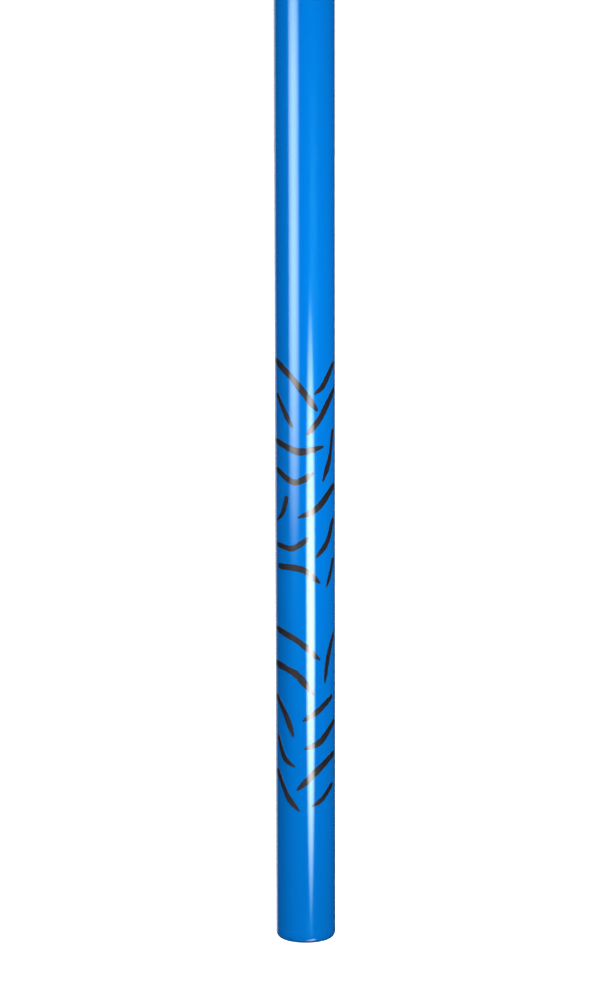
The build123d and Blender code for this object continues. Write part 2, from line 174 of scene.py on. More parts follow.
def lacquer(name):
    """Gloss blue paint under clear coat: slight orange peel, and rubbed near the butt end.

    The paint's own gloss is cyan, so a highlight has pale blue edges.
    """
    s = Shader(name, Specular_IOR_Level=0.3, Specular_Tint=CYAN, **COAT)
    cloud = s.noise(9.0, stretch=(1, 1, 0.35))
    colour = s.tint(s.spread(cloud), *PAINT_BLUES)
    height = s.parts(s.place())[2]
    near_end = s.spread(height, 1.0, 0.0, start=0.0, end=WEAR_HEIGHT)
    scratches = s.noise(per_mm(4.0), detail=8.0, rough=0.75, stretch=(1, 1, 0.25))
    wear = s.math("MULTIPLY", s.spread(scratches, start=0.56, end=0.72), near_end)
    colour = s.tint(s.math("MULTIPLY", wear, 0.35), colour, RUBBED_PAINT)
    normal = s.bump(s.noise(per_mm(3.0), detail=1.0), strength=0.16, depth_mm=0.02)
    normal = s.bump(s.noise(per_mm(17.0), detail=2.0), strength=0.12, depth_mm=0.1, under=normal)
    return s.finish(Base_Color=colour, Roughness=s.spread(wear, 0.15, 0.35, start=0.0, end=1.0),
                    Normal=normal, Coat_Normal=normal)


def brushed_paint():
    """Black hand-brushed paint under the same clear coat, with bristle streaks."""
    s = Shader("brushed_black_paint", Specular_IOR_Level=0.3, **COAT)
    streaks = s.noise(per_mm(1.4), detail=4.0, rough=0.65)
    colour = s.tint(s.spread(streaks), *PAINT_BLACKS)
    normal = s.bump(streaks, strength=0.12, depth_mm=0.02)
    return s.finish(Base_Color=colour, Roughness=s.spread(streaks, 0.4, 0.6), Normal=normal,
                    Coat_Normal=normal)


def moulded(name, dark, light, roughness, grain_mm=0.35, **sockets):
    """Moulded plastic with a spark-eroded grain, faint flow marks and handling shine."""
    s = Shader(name, **sockets)
    flow = s.noise(per_mm(30.0), detail=3.0, stretch=(0.5, 1, 1), distortion=0.6)
    grain = s.noise(per_mm(grain_mm), detail=3.0, rough=0.7)
    specks = s.spread(s.noise(per_mm(1.1), detail=6.0, rough=0.8), start=0.55, end=0.8)
    fac = s.math("ADD", s.math("MULTIPLY", s.spread(flow), 0.6), s.math("MULTIPLY", specks, 0.4))
    handled = s.spread(flow, roughness - 0.08, roughness + 0.08)
    return s.finish(Base_Color=s.tint(fac, dark, light), Normal=s.bump(grain, strength=0.35, depth_mm=0.06),
                    Roughness=s.math("ADD", handled, s.math("MULTIPLY", specks, 0.08)))


STREAK_MM = 0.25


def brushed_metal(name, dark, light, streak, roughness, stains):
    """Machined metal: fine streaks along the directions where streak is small, and dull patches.

    Stains is how strongly brown spots show on it, from 0 to 1.
    """
    s = Shader(name, Metallic=1.0)
    lines = s.noise(per_mm(STREAK_MM), detail=5.0, rough=0.7, stretch=streak)
    patches = s.noise(per_mm(8.0), detail=5.0, rough=0.6)
    fac = s.math("ADD", s.math("MULTIPLY", s.spread(lines), 0.5),
                 s.math("MULTIPLY", s.spread(patches), 0.5))
    colour = s.tint(fac, dark, light)
    if stains:
        spots = s.spread(s.noise(per_mm(2.5), detail=8.0, rough=0.75), 0.0, stains, start=0.6, end=0.8)
        colour = s.tint(spots, colour, STAIN_BROWN)
    rough = s.math("ADD", s.spread(lines, roughness - 0.05, roughness + 0.05),
                   s.spread(patches, 0.0, 0.12, start=0.4, end=0.8))
    return s.finish(Base_Color=colour, Roughness=rough, Normal=s.bump(lines, strength=0.12, depth_mm=0.015))


SCUFF_DEPTH = 1.2 * MM  # how far in from its outermost faces the bumper is scuffed


def bumper_rubber():
    """Matt rubber: pebbled, dusty, and scuffed pale where it sticks out furthest."""
    s = Shader("bumper_rubber", Specular_IOR_Level=0.35)
    x, y, _ = s.parts(s.place())
    out_x = s.spread(s.math("ABSOLUTE", x), start=BUMPER_HIGH.x - SCUFF_DEPTH, end=BUMPER_HIGH.x)
    out_y = s.spread(s.math("ABSOLUTE", y), start=BUMPER_HIGH.y - SCUFF_DEPTH, end=BUMPER_HIGH.y)
    edge = s.math("MAXIMUM", out_x, out_y)
    rubs = s.spread(s.noise(per_mm(5.0), detail=8.0, rough=0.8), start=0.48, end=0.68)
    scuffed = s.math("MULTIPLY", edge, rubs)
    dust = s.spread(s.noise(per_mm(18.0), detail=6.0, rough=0.7), 0.0, 0.5)
    colour = s.tint(dust, *RUBBER_GREYS)
    colour = s.tint(s.math("MULTIPLY", scuffed, 0.7), colour, SCUFF_GREY)
    pebble = s.noise(per_mm(0.6), detail=4.0, rough=0.65)
    return s.finish(Base_Color=colour, Roughness=s.spread(dust, 0.62, 0.8, start=0.0, end=0.5),
                    Normal=s.bump(pebble, strength=0.5, depth_mm=0.08))


def foam_cells():
    """Closed-cell foam: pale, with small round cells."""
    s = Shader("pad_foam", Roughness=0.9, Subsurface_Weight=0.2, Subsurface_Scale=0.002)
    cells = s.node("TexVoronoi", {"Vector": s.place(), "Scale": per_mm(1.2)}).outputs["Distance"]
    colour = s.tint(s.spread(cells, start=0.0, end=0.6), *FOAM_CREAMS)
    return s.finish(Base_Color=colour, Normal=s.bump(cells, strength=0.8, depth_mm=0.3))


RIDGE_DEPTH = 0.5 * MM  # how far down the thumb slide's ridges are rubbed


def worn_thumb_plastic():
    """Blue grip plastic whose ridge tops are rubbed shiny and paler."""
    s = Shader("thumb_plastic", Coat_Weight=0.15, Coat_Roughness=0.2)
    outward = s.parts(s.place())[1]
    top = s.spread(outward, 1.0, 0.0, start=THUMB_LOW.y, end=THUMB_LOW.y + RIDGE_DEPTH)
    rubs = s.spread(s.noise(per_mm(2.2), detail=6.0, rough=0.7), 0.3, 1.0)
    rubbed = s.math("MULTIPLY", top, rubs)
    flow = s.spread(s.noise(per_mm(9.0), detail=3.0))
    colour = s.tint(flow, *THUMB_BLUES)
    colour = s.tint(s.math("MULTIPLY", rubbed, 0.45), colour, RUBBED_THUMB)
    return s.finish(Base_Color=colour, Roughness=s.spread(rubbed, 0.46, 0.26, start=0.0, end=1.0),
                    Normal=s.bump(s.noise(per_mm(0.3), detail=3.0, rough=0.7), strength=0.3, depth_mm=0.05))


THREAD_MM = 0.62


def woven_cloth():
    """Plain-woven nylon cloth: crossing threads by the way the surface faces, fuzz and dirt."""
    s = Shader("pad_cloth", Sheen_Weight=0.35, Sheen_Roughness=0.45, Sheen_Tint=CLOTH_SHEEN,
               Specular_IOR_Level=0.3)
    turn = math.pi / (THREAD_MM * MM)
    waves = [s.math("SINE", s.math("MULTIPLY", axis, turn)) for axis in s.parts(s.place())]
    facing = s.parts(s.node("TexCoord").outputs["Normal"])
    weave = None
    for i, way in enumerate(facing):
        a, b = (waves[j] for j in range(3) if j != i)
        share = s.math("MULTIPLY", way, way)
        crossing = s.math("MULTIPLY", s.math("MULTIPLY", a, b), share)
        weave = crossing if weave is None else s.math("ADD", weave, crossing)
    weave = s.spread(weave, start=-1.0, end=1.0)
    slub = s.noise(per_mm(0.5), detail=5.0, rough=0.7)
    dirt = s.spread(s.noise(per_mm(24.0), detail=7.0, rough=0.65), 0.0, 0.55, start=0.42, end=0.75)
    colour = s.tint(weave, *CLOTH_YELLOWS)
    colour = s.tint(s.math("MULTIPLY", slub, 0.35), colour, CLOTH_SLUB)
    colour = s.tint(dirt, colour, CLOTH_DIRT)
    rough = s.spread(s.math("ADD", weave, slub), 0.72, 0.92, start=0.2, end=1.6)
    normal = s.bump(slub, strength=0.3, depth_mm=0.1, under=s.bump(weave, strength=0.8, depth_mm=0.22))
    return s.finish(Base_Color=colour, Roughness=rough, Normal=normal)


def sewing_thread():
    """Twisted polyester thread, a little darker than the cloth."""
    s = Shader("pad_thread", Specular_IOR_Level=0.3, Roughness=0.65)
    ply = s.noise(per_mm(0.35), detail=3.0)
    colour = s.tint(s.spread(ply), *THREAD_BROWNS)
    return s.finish(Base_Color=colour, Normal=s.bump(ply, strength=0.6, depth_mm=0.08))


# ---------------------------------------------------------------- mesh helpers
def new_object(name, bm, material):
    """A smooth-shaded object from a bmesh, which is used up."""
    mesh = bpy.data.meshes.new(name)
    bmesh.ops.recalc_face_normals(bm, faces=bm.faces)
    bm.to_mesh(mesh)
    bm.free()
    mesh.shade_smooth()
    mesh.materials.append(material)
    made = bpy.data.objects.new(name, mesh)
    bpy.context.scene.collection.objects.link(made)
    return made


def lathe(bm, profile, segments):
    """Turns a closed outline of (radius, z) points about Z."""
    rings = []
    for i in range(segments):
        turn = 2 * math.pi * i / segments
        rings.append([bm.verts.new((r * math.cos(turn), r * math.sin(turn), z)) for r, z in profile])
    for a, b in zip(rings, rings[1:] + rings[:1]):
        bridge(bm, a, b)


def bridge(bm, ring, other):
    """Quads between two closed rings of vertices."""
    for j in range(len(ring)):
        k = (j + 1) % len(ring)
        bm.faces.new((ring[j], other[j], other[k], ring[k]))


def round_ring(bm, centre, across, up, radius, sides):
    """A ring of vertices round centre, in the plane of the directions across and up."""
    turns = [2 * math.pi * k / sides for k in range(sides)]
    return [bm.verts.new(centre + (across * math.cos(a) + up * math.sin(a)) * radius) for a in turns]


def baked(obj):
    """The object's mesh with its modifiers applied, in place of the old one."""
    graph = bpy.context.evaluated_depsgraph_get()
    mesh = bpy.data.meshes.new_from_object(obj.evaluated_get(graph))
    obj.modifiers.clear()
    obj.data = mesh
    return obj


# ---------------------------------------------------------------- handle
TUBE_RADIUS = TUBE_HIGH.x
TUBE_WALL = 1.6 * MM
TUBE_SEGMENTS = 192
TUBE_BANDS = 40
TUBE_SHARP = math.radians(30)  # edges bent more than this stay sharp
EDGE_BREAK = 0.05 * MM
RING_SEAT = 0.2 * MM  # how far the tube is turned down under the end ring


def lacquered_tube():
    """The handle tube again with a finer skin, so its reflections run straight."""
    low, high, seat = TUBE_LOW.z, TUBE_HIGH.z, RING_LOW.z
    bore = TUBE_RADIUS - TUBE_WALL
    start = low + EDGE_BREAK
    side = [(TUBE_RADIUS, start + (seat - start) * i / TUBE_BANDS) for i in range(TUBE_BANDS + 1)]
    profile = [(bore, low), (TUBE_RADIUS - EDGE_BREAK, low), *side]
    profile += [(TUBE_RADIUS - RING_SEAT, seat), (TUBE_RADIUS - RING_SEAT, high), (bore, high)]
    bm = bmesh.new()
    lathe(bm, profile, TUBE_SEGMENTS)
    tube = new_object("lacquered_tube", bm, lacquer("handle_lacquer"))
    tube.data.set_sharp_from_angle(angle=TUBE_SHARP)
    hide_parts("handle_tube")
    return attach(tube, "handle")


lacquered_tube()


# ---------------------------------------------------------------- brushed paint marks
MARK_STEP_MM = 0.5
MARK_PROUD_MM = 0.03
MARK_LAYER_MM = 0.006  # strokes lie at three heights this far apart, so two that touch are not level
MARK_SUNK_MM = 0.04
MARK_SHARES = (-1.0, -0.97, -0.5, 0.0, 0.5, 0.97, 1.0)  # of half a stroke's width, from its middle
MARK_START_MM = 1.2  # a stroke widens over this length where it starts
MARK_START_BLUNT_MM = 0.5
MARK_END_MM = 6.0  # and thins out over this length where it ends
MARK_END_BLUNT_MM = 0.2
MARK_SWELL = 0.2  # how much its width varies slowly, and how fast per mm
MARK_SWELL_PER_MM = 0.13
MARK_WOBBLE = 0.15  # how much each edge wobbles, and how fast per mm
MARK_WOBBLE_PER_MM = 0.8
MARK_EDGE_APART = 3.0  # far enough apart in the noise for the two edges to differ
MARK_SEED_STEP = 11.3
MARK_SHARP = math.radians(20)

# Each stroke is (full width in mm, its points). A point is (share of the handle's radius to the
# right of its axis as seen from the front, millimetres above the butt end).
UPPER_MARKS = (
    (2.9, ((-0.97, 250), (-0.30, 241), (0.42, 229))),
    (2.6, ((0.95, 249), (0.62, 240), (0.30, 236))),
    (2.8, ((0.97, 238), (0.50, 226), (0.05, 219))),
    (2.5, ((-0.93, 236), (-0.62, 227), (-0.40, 222))),
    (2.9, ((-0.96, 216), (-0.20, 212), (0.62, 214))),
    (2.6, ((0.92, 221), (0.80, 208), (0.58, 199))),
    (2.8, ((-0.95, 204), (-0.35, 199), (0.30, 203))),
    (2.5, ((-0.60, 193), (-0.74, 186), (-0.94, 182))),
    (2.9, ((0.96, 197), (0.40, 188), (-0.25, 184))),
    (2.6, ((-0.94, 172), (-0.40, 171), (0.15, 176))),
    (2.7, ((0.93, 183), (0.72, 173), (0.35, 167))),
    (2.8, ((-0.90, 163), (-0.10, 162), (0.50, 156))),
    (2.4, ((0.93, 166), (0.84, 160), (0.70, 154))),
)
LOWER_MARKS = (
    (2.8, ((-0.95, 136), (-0.20, 131), (0.50, 123))),
    (2.5, ((0.94, 134), (0.76, 124), (0.64, 113))),
    (2.9, ((-0.97, 121), (-0.30, 117), (0.30, 108))),
    (2.6, ((0.90, 107), (0.40, 101), (-0.10, 97))),
    (2.8, ((-0.96, 107), (-0.62, 98), (-0.40, 90))),
    (2.7, ((0.97, 96), (0.50, 88), (-0.05, 85))),
    (2.5, ((-0.92, 90), (-0.72, 81), (-0.35, 77))),
    (2.9, ((0.95, 82), (0.35, 75), (-0.30, 67))),
    (2.6, ((-0.95, 75), (-0.60, 64), (-0.20, 58))),
    (2.4, ((0.90, 69), (0.55, 63), (0.20, 60))),
)


def curve_through(points, step):
    """Points about a step apart on a smooth (Catmull-Rom) curve through the given points."""
    ends = [2 * points[0] - points[1], *points, 2 * points[-1] - points[-2]]
    path = []
    for before, a, b, after in zip(ends, ends[1:], ends[2:], ends[3:]):
        count = max(2, round((b - a).length / step))
        for i in range(count):
            t = i / count
            path.append(0.5 * (2 * a + (b - before) * t + (2 * before - 5 * a + 4 * b - after) * t ** 2
                               + (3 * a - before - 3 * b + after) * t ** 3))
    return path + [points[-1]]


def brush_stroke(bm, width, points, proud, seed):
    """One flat brush stroke wrapped round the handle, with uneven edges and a dry, tapered end."""
    radius_mm = TUBE_RADIUS / MM
    path = curve_through([Vector((share * radius_mm, up)) for share, up in points], MARK_STEP_MM)
    path = [Vector((math.asin(p.x / radius_mm) * radius_mm, p.y)) for p in path]
    length = sum((b - a).length for a, b in zip(path, path[1:]))
    rings = []
    for i, here in enumerate(path):
        ahead = path[min(i + 1, len(path) - 1)] - path[max(i - 1, 0)]
        across = Vector((-ahead.y, ahead.x)).normalized()
        done = i / (len(path) - 1)
        start = min(1.0, (done * length + MARK_START_BLUNT_MM) / MARK_START_MM)
        end = min(1.0, ((1 - done) * length + MARK_END_BLUNT_MM) / MARK_END_MM)
        taper = start * end ** 0.5
        swelling = noise.noise((done * length * MARK_SWELL_PER_MM, seed, 0.0))
        half = 0.5 * width * taper * (1 + MARK_SWELL * swelling)
        ring = []
        for share in MARK_SHARES:
            edge = MARK_EDGE_APART if share > 0 else -MARK_EDGE_APART
            wobble = 1 + MARK_WOBBLE * noise.noise((done * length * MARK_WOBBLE_PER_MM, seed, edge))
            height = 0.0 if abs(share) == 1.0 else proud
            ring.append((here + across * half * share * wobble, height))
        ring += [(ring[-1][0], -MARK_SUNK_MM), (ring[0][0], -MARK_SUNK_MM)]
        rings.append([bm.verts.new(on_handle(p, radius_mm + h)) for p, h in ring])
    for a, b in zip(rings, rings[1:]):
        bridge(bm, a, b)
    bm.faces.new(rings[0][::-1])
    bm.faces.new(rings[-1])


def on_handle(p, radius_mm):
    """A place on the handle, from millimetres round it and up it."""
    turn = p.x * MM / TUBE_RADIUS
    return Vector((radius_mm * math.sin(turn), -radius_mm * math.cos(turn), p.y)) * MM


def brushed_marks():
    """Generic black brush strokes in two groups up the handle's front."""
    bm = bmesh.new()
    for i, (width, points) in enumerate(UPPER_MARKS + LOWER_MARKS):
        proud = MARK_PROUD_MM + MARK_LAYER_MM * (i % 3)
        brush_stroke(bm, width, points, proud, MARK_SEED_STEP * i)
    marks = new_object("brushed_marks", bm, brushed_paint())
    marks.data.set_sharp_from_angle(angle=MARK_SHARP)
    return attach(marks, "handle")


brushed_marks()


# ---------------------------------------------------------------- sewn pad cover
PAD_LENGTH = 2 * PAD_HIGH.x
PAD_WIDTH = 2 * PAD_HIGH.y
PAD_CORNER = 11.8 * MM
PAD_ROUND = 4.5 * MM
PAD_ROUND_STEPS = 6
PAD_BACK_ROUND = 1.5 * MM
PAD_BACK_STEPS = 4
PAD_STEP = 3.0 * MM
PAD_SLACK = 0.6 * MM  # how much lower the pad starts, before it swells
PIN_FULL = 5.0 * MM  # the cloth is held this far up its sides, round the stiff plate
PIN_NONE = 9.0 * MM
PAD_VOXEL = 2.0 * MM
PAD_SWELL = 1.6 * MM  # the furthest a point moves
SWELL_FRAMES = 20
SWELL_PRESSURE = 4.0
CLOTH_STIFFNESS = 22.0
CLOTH_BENDING = 0.6
CLOTH_MASS = 0.25
CLOTH_QUALITY = 6
STILL = 1e-9  # a point that moves less than this stays where it is
CLOTH_THICK = 0.8 * MM
FOAM_INSET = 1.6 * MM
BACK_MARGIN = 7.0 * MM
BACK_DEPTH = 1.2 * MM  # a face this near the back, with a normal's z below BACK_SLOPE, belongs to it
BACK_SLOPE = -0.5
RIM_SMOOTHINGS = 12
SEAM_DROP = 5.6 * MM  # the seam's distance below the working face
SEAM_DEEP = 0.55 * MM
SEAM_HALF = 0.9 * MM
SIDE_DEPTH = 4.0 * MM  # cloth nearer the outline than this is the pad's side
GATHER_DROP = 6.0 * MM  # gathers and ripples grow over this distance below the seam
GATHER_DEEP = 0.28 * MM
GATHERS = 22.0  # radians of gather wave per radian of corner
RIPPLE_DEEP = 0.12 * MM
RIPPLE_SCALE = 120.0
RIPPLE_SQUASH = 0.6  # below 1, so ripples are longer up the side than along it


def rounded_outline(length, width, corner, step):
    """Evenly spaced (place, outward direction) pairs round a rectangle with rounded corners."""
    run_x, run_y = length / 2 - corner, width / 2 - corner
    quarter = corner * math.pi / 2
    around = 4 * (run_x + run_y) + 4 * quarter
    count = round(around / step)
    found = []
    for i in range(count):
        left = around * i / count
        for side in range(4):
            run = 2 * (run_y if side % 2 == 0 else run_x)
            sign_x, sign_y = ((1, 1), (-1, 1), (-1, -1), (1, -1))[side]
            turn = side * math.pi / 2
            outward = Vector((math.cos(turn), math.sin(turn)))
            along = Vector((-outward.y, outward.x))
            centre = Vector((sign_x * run_x, sign_y * run_y))
            if left <= run:
                found.append((centre + outward * corner - along * (run - left), outward))
                break
            left -= run
            if left <= quarter:
                bend = turn + left / corner
                outward = Vector((math.cos(bend), math.sin(bend)))
                found.append((centre + outward * corner, outward))
                break
            left -= quarter
    return found


def pad_blank():
    """Plain closed pad with rounded edges, a little smaller than the sewn cover."""
    bm = bmesh.new()
    top, bottom = PAD_HIGH.z - PAD_SLACK, PAD_LOW.z
    levels = []
    for i in range(PAD_BACK_STEPS + 1):
        bend = math.pi / 2 * i / PAD_BACK_STEPS
        inset = PAD_BACK_ROUND * (1 - math.sin(bend))
        levels.append((inset, bottom + PAD_BACK_ROUND * (1 - math.cos(bend))))
    for i in range(PAD_ROUND_STEPS + 1):
        bend = math.pi / 2 * i / PAD_ROUND_STEPS
        levels.append((PAD_ROUND * (1 - math.cos(bend)), top - PAD_ROUND * (1 - math.sin(bend))))
    outline = rounded_outline(PAD_LENGTH, PAD_WIDTH, PAD_CORNER, PAD_STEP)
    rings = []
    for inset, z in levels:
        rings.append([bm.verts.new((*(p - way * inset), z)) for p, way in outline])
    for a, b in zip(rings, rings[1:]):
        bridge(bm, b, a)
    bm.faces.new(rings[0][::-1])
    bm.faces.new(rings[-1])
    return bm


def swell(pad, limit):
    """Blows the pad up as sewn cloth under pressure; no point moves further than limit."""
    scene = bpy.context.scene
    before = [v.co.copy() for v in pad.data.vertices]
    held = pad.vertex_groups.new(name="held")
    for vertex in pad.data.vertices:
        height = vertex.co.z - PAD_LOW.z
        grip = (PIN_NONE - height) / (PIN_NONE - PIN_FULL)
        held.add([vertex.index], max(0.0, min(1.0, grip)), "REPLACE")
    cloth = pad.modifiers.new("cloth", "CLOTH").settings
    cloth.quality = CLOTH_QUALITY
    cloth.mass = CLOTH_MASS
    cloth.tension_stiffness = CLOTH_STIFFNESS
    cloth.compression_stiffness = CLOTH_STIFFNESS
    cloth.bending_stiffness = CLOTH_BENDING
    cloth.use_pressure = True
    cloth.uniform_pressure_force = SWELL_PRESSURE
    cloth.vertex_group_mass = held.name
    cloth.effector_weights.gravity = 0.0
    for step in range(1, SWELL_FRAMES + 1):
        scene.frame_set(step)
    baked(pad)
    scene.frame_set(1)
    for vertex, old in zip(pad.data.vertices, before):
        move = vertex.co - old
        if move.length > STILL:
            vertex.co = old + move.normalized() * limit * math.tanh(move.length / limit)


def sewn_details(pad):
    """Presses the seam in, gathers the corners, and limits how far the ends and the back stick out."""
    seam_z = PAD_HIGH.z - SEAM_DROP
    run_x, run_y = PAD_LENGTH / 2 - PAD_CORNER, PAD_WIDTH / 2 - PAD_CORNER
    for vertex in pad.data.vertices:
        p = vertex.co
        corner = Vector((abs(p.x) - run_x, abs(p.y) - run_y))
        bend = math.atan2(max(corner.y, 0.0), max(corner.x, 0.0))
        outward = Vector((math.copysign(math.cos(bend), p.x), math.copysign(math.sin(bend), p.y), 0.0))
        if max(corner) <= PAD_CORNER - SIDE_DEPTH and min(corner) <= 0:
            continue
        gap = (p.z - seam_z) / SEAM_HALF
        push = -SEAM_DEEP * math.exp(-gap * gap)
        at_corner = math.sin(2 * bend) ** 2
        below = max(0.0, min(1.0, (seam_z - p.z) / GATHER_DROP))
        push += GATHER_DEEP * at_corner * below * math.sin(GATHERS * bend)
        ripple = noise.noise(Vector((p.x, p.y, p.z * RIPPLE_SQUASH)) * RIPPLE_SCALE)
        push += RIPPLE_DEEP * ripple * below
        vertex.co += outward * push
    for vertex in pad.data.vertices:
        vertex.co.x = max(-PAD_HIGH.x - PAD_SWELL, min(PAD_HIGH.x + PAD_SWELL, vertex.co.x))
        vertex.co.z = max(PAD_LOW.z, vertex.co.z)


def open_back(pad):
    """Cuts the opening that the pad plate shows through, and smooths the cut's edge."""
    bm = bmesh.new()
    bm.from_mesh(pad.data)
    half_x, half_y = PAD_LENGTH / 2 - BACK_MARGIN, PAD_WIDTH / 2 - BACK_MARGIN
    inside = []
    for face in bm.faces:
        middle = face.calc_center_median()
        at_back = middle.z < PAD_LOW.z + BACK_DEPTH and face.normal.z < BACK_SLOPE
        if at_back and abs(middle.x) < half_x and abs(middle.y) < half_y:
            inside.append(face)
    bmesh.ops.delete(bm, geom=inside, context="FACES")
    rim = {v for e in bm.edges if e.is_boundary for v in e.verts}
    for _ in range(RIM_SMOOTHINGS):
        moved = {}
        for v in rim:
            beside = [e.other_vert(v) for e in v.link_edges if e.is_boundary]
            moved[v] = (v.co + sum((w.co for w in beside), Vector()) / len(beside)) / 2
        for v, place in moved.items():
            v.co = place
    bm.to_mesh(pad.data)
    bm.free()


def shaped_foam(pad):
    """The foam block as the cover squeezes it: the cover's shape, moved in and cut flat at the back."""
    plain = pad.data.copy()
    inward = [v.normal * FOAM_INSET for v in plain.vertices]
    for vertex, step in zip(plain.vertices, inward):
        vertex.co -= step
        vertex.co.z = max(FOAM_LOW.z, vertex.co.z)
    foam = bpy.data.objects.new("squeezed_foam", plain)
    bpy.context.scene.collection.objects.link(foam)
    plain.materials.clear()
    plain.materials.append(foam_cells())
    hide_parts("foam_core")
    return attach(foam, "head")


def sewn_pad():
    """Crowned cloth cover over the foam, sewn round its side, with an open back."""
    pad = new_object("sewn_pad_cover", pad_blank(), woven_cloth())
    remesh = pad.modifiers.new("remesh", "REMESH")
    remesh.mode = "VOXEL"
    remesh.voxel_size = PAD_VOXEL
    baked(pad)
    swell(pad, PAD_SWELL)
    pad.modifiers.new("finer", "SUBSURF").levels = 1
    baked(pad)
    shaped_foam(pad)
    sewn_details(pad)
    open_back(pad)
    skin = pad.modifiers.new("cloth thickness", "SOLIDIFY")
    skin.thickness = CLOTH_THICK
    skin.offset = -1.0
    baked(pad)
    pad.data.shade_smooth()
    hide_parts("pad_cover")
    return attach(pad, "head")


RAY_START = 10.0 * MM  # rays towards the cover start this far outside it
WELT_RADIUS = 0.85 * MM
WELT_SINK = 0.25 * MM
WELT_SIDES = 10
WELT_STEP = 1.2 * MM
WELT_LUMPS = ((0.10, 260.0), (0.06, 900.0))  # (share of the radius, noise scale)
STITCH_PITCH = 3.6 * MM
STITCH_LENGTH = 2.5 * MM
STITCH_DROP = 2.0 * MM  # the stitches' distance below the welt
STITCH_STEPS = 6
STITCH_RISE = 1.5  # thread radii that a stitch's middle rises from its ends
STITCH_SINK = 0.9  # thread radii that its ends lie inside the cloth
STITCH_THIN = 0.75  # its ends' share of the full radius
THREAD_RADIUS = 0.28 * MM
THREAD_SIDES = 8


def round_the_side(pad, z, step):
    """(point, outward direction) pairs on the cover's side, all the way round at one height."""
    found = []
    for place, way in rounded_outline(PAD_LENGTH, PAD_WIDTH, PAD_CORNER, step):
        outward = Vector((*way, 0.0))
        start = Vector((*place, z)) + outward * RAY_START
        hit, point, _, _ = pad.ray_cast(start, -outward)
        found.append((point if hit else Vector((*place, z)), outward))
    return found


def pad_welt(pad):
    """The rolled seam allowance that stands along the seam, a little lumpy like sewn cloth."""
    route = round_the_side(pad, PAD_HIGH.z - SEAM_DROP, WELT_STEP)
    bm = bmesh.new()
    rings = []
    for point, outward in route:
        radius = WELT_RADIUS * (1 + sum(share * noise.noise(point * scale) for share, scale in WELT_LUMPS))
        centre = point + outward * (WELT_RADIUS - WELT_SINK)
        rings.append(round_ring(bm, centre, outward, Vector((0, 0, 1)), radius, WELT_SIDES))
    for a, b in zip(rings, rings[1:] + rings[:1]):
        bridge(bm, a, b)
    welt = new_object("pad_seam_welt", bm, pad.data.materials[0])
    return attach(welt, "head")


def thread_stitch(bm, start, end, outward):
    """One stitch: a short thread that rises out of the cloth and dives back in."""
    side = (end - start).normalized().cross(outward).normalized()
    rings = []
    for i in range(STITCH_STEPS + 1):
        share = i / STITCH_STEPS
        arch = math.sin(math.pi * share)
        centre = start.lerp(end, share) + outward * THREAD_RADIUS * (STITCH_RISE * arch - STITCH_SINK)
        radius = THREAD_RADIUS * (STITCH_THIN + (1 - STITCH_THIN) * arch)
        rings.append(round_ring(bm, centre, side, outward, radius, THREAD_SIDES))
    for a, b in zip(rings, rings[1:]):
        bridge(bm, a, b)
    bm.faces.new(rings[0][::-1])
    bm.faces.new(rings[-1])


def pad_stitching(pad):
    """A row of stitches under the welt, laid on the cover's side."""
    route = round_the_side(pad, PAD_HIGH.z - SEAM_DROP - STITCH_DROP, STITCH_PITCH)
    bm = bmesh.new()
    for (a, outward), (b, _) in zip(route, route[1:] + route[:1]):
        end = a + (b - a).normalized() * min(STITCH_LENGTH, (b - a).length)
        thread_stitch(bm, a, end, outward)
    stitches = new_object("pad_stitching", bm, sewing_thread())
    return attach(stitches, "head")


cover = sewn_pad()
pad_welt(cover)
pad_stitching(cover)


# ---------------------------------------------------------------- finishes of the CAD parts
def dress(material, *names):
    """Puts a material on CAD nodes, whose shapes stay as they are."""
    for name in names:
        for material_slot in NODES[name].material_slots:
            material_slot.material = material


# How noise is stretched into streaks: they run along the axes whose numbers are small.
ROUND_Z = (0.04, 0.04, 1.0)  # round the handle's axis
ROUND_X = (1.0, 0.04, 0.04)  # round the pivot's axis
ALONG_Z = (1.0, 1.0, 0.03)

# Each metal is (name, darkest colour, lightest colour, streaks, roughness, stains, the nodes it covers).
METALS = (
    ("ring_aluminium", (0.60, 0.61, 0.62), (0.84, 0.85, 0.86), ROUND_Z, 0.30, 0.0, ("tube_end_ring",)),
    ("rivet_aluminium", (0.66, 0.67, 0.68), (0.86, 0.86, 0.87), ROUND_X, 0.34, 0.0, ("ferrule_rivets",)),
    ("bolt_steel", (0.42, 0.42, 0.43), (0.66, 0.66, 0.66), ROUND_X, 0.26, 0.35,
     ("pivot_bolt", "pivot_nut", "bolt_washers", "thumb_screw", "pad_screws")),
    ("bar_steel", (0.30, 0.30, 0.31), (0.52, 0.52, 0.52), ALONG_Z, 0.32, 0.5, ("lock_bar",)),
    ("spring_steel", (0.20, 0.21, 0.24), (0.42, 0.43, 0.46), ALONG_Z, 0.28, 0.0, ("detent_spring",)),
    ("insert_brass", (0.55, 0.38, 0.13), (0.80, 0.60, 0.26), ROUND_Z, 0.32, 0.0, ("threaded_inserts",)),
)

